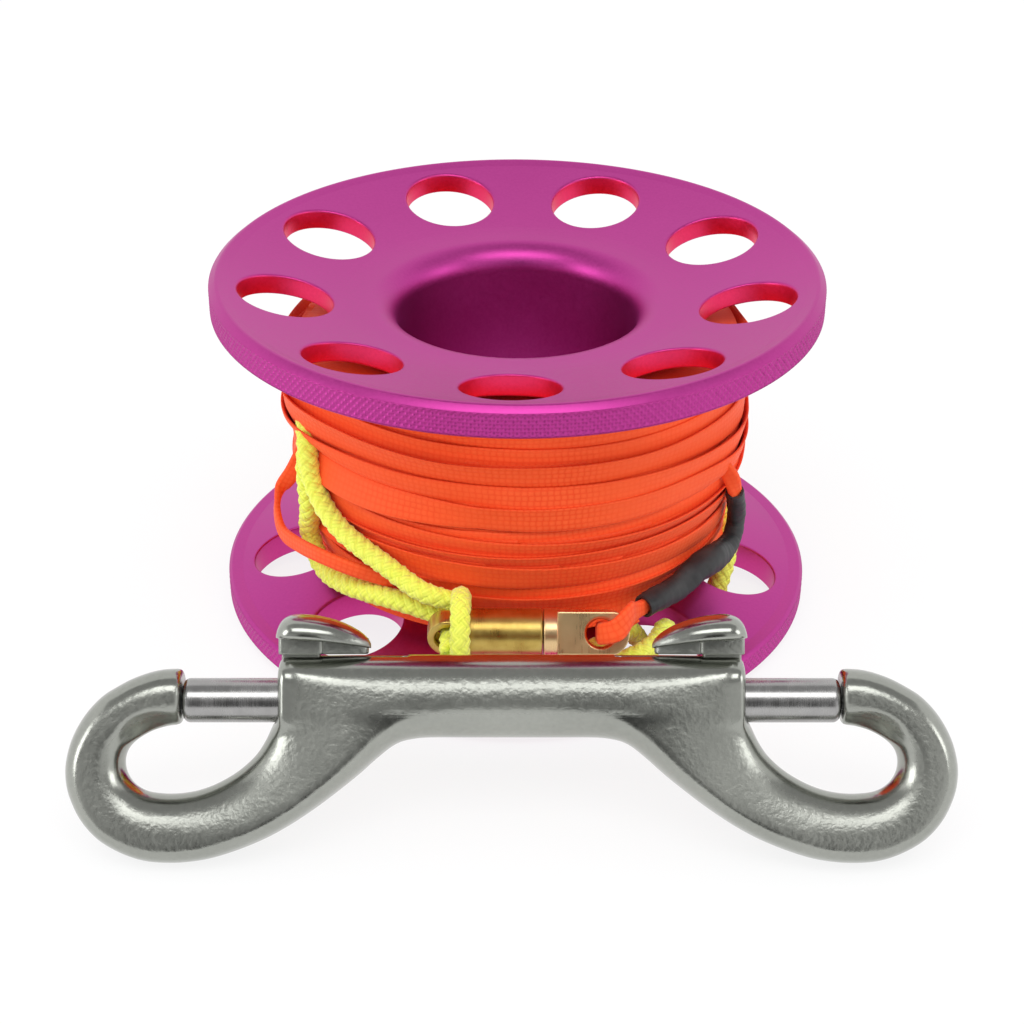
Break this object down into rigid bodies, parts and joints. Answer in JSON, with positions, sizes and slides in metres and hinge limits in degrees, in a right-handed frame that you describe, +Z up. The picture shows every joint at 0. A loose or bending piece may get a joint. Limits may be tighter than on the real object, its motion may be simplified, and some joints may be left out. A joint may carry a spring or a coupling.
{
  "type": "fishing line spool",
  "caption": "Finger spool of flat line with a rotating line swivel, a wrist lanyard and a double-ended bolt snap with two sprung gates.",
  "frame": {"origin": "on the spool's axis, in the plane of the lower rim that the spool stands on", "axes": "+Z up along the finger bore, +X to the right along the bolt snap, -Y towards the bolt snap in front"},
  "size_m": [0.1028, 0.1046, 0.0472],
  "materials": {
    "anodised_spool": "satin magenta anodised, fine turned",
    "line": "flat woven polyester line, orange",
    "lanyard": "braided cord, yellow green",
    "sleeve": "matt black heat shrink sleeve",
    "brass": "turned and milled, unpolished",
    "cast_steel": "polished cast stainless steel with fine cast texture",
    "turned_steel": "turned stainless steel",
    "spring_steel": "drawn spring wire"
  },
  "bodies": {
    "spool": {"upper_flange": "anodised_spool", "lower_flange": "anodised_spool", "line_core": "line", "line_winding": "line", "line_slack_loop": "line", "line_end_loop": "line", "heat_shrink_sleeve": "sleeve", "lanyard_cord": "lanyard", "swivel_barrel": "brass", "swivel_bush": "brass"},
    "swivel_eye": {"swivel_eye": "brass"},
    "snap": {"snap_body": "cast_steel", "left_gate_spring": "spring_steel", "right_gate_spring": "spring_steel"},
    "left_gate": {"left_gate_bolt": "turned_steel", "left_thumb_knob": "cast_steel"},
    "right_gate": {"right_gate_bolt": "turned_steel", "right_thumb_knob": "cast_steel"}
  },
  "joints": [
    {"name": "swivel_turn", "type": "hinge", "parent": "spool", "child": "swivel_eye", "pos_m": [0, -0.0338, 0.0127], "axis": [1, 0, 0], "continuous": true, "deforming": ["line_end_loop"]},
    {"name": "snap_lift", "type": "slide", "parent": "spool", "child": "snap", "axis": [0, 0, 1], "range_m": [0, 0.08]},
    {"name": "left_gate_slide", "type": "slide", "parent": "snap", "child": "left_gate", "axis": [1, 0, 0], "range_m": [0, 0.0094], "stiffness_N_per_m": 400, "springref_m": -0.004, "deforming": ["left_gate_spring"]},
    {"name": "right_gate_slide", "type": "slide", "parent": "snap", "child": "right_gate", "axis": [-1, 0, 0], "range_m": [0, 0.0094], "stiffness_N_per_m": 400, "springref_m": -0.004, "deforming": ["right_gate_spring"]}
  ]
}
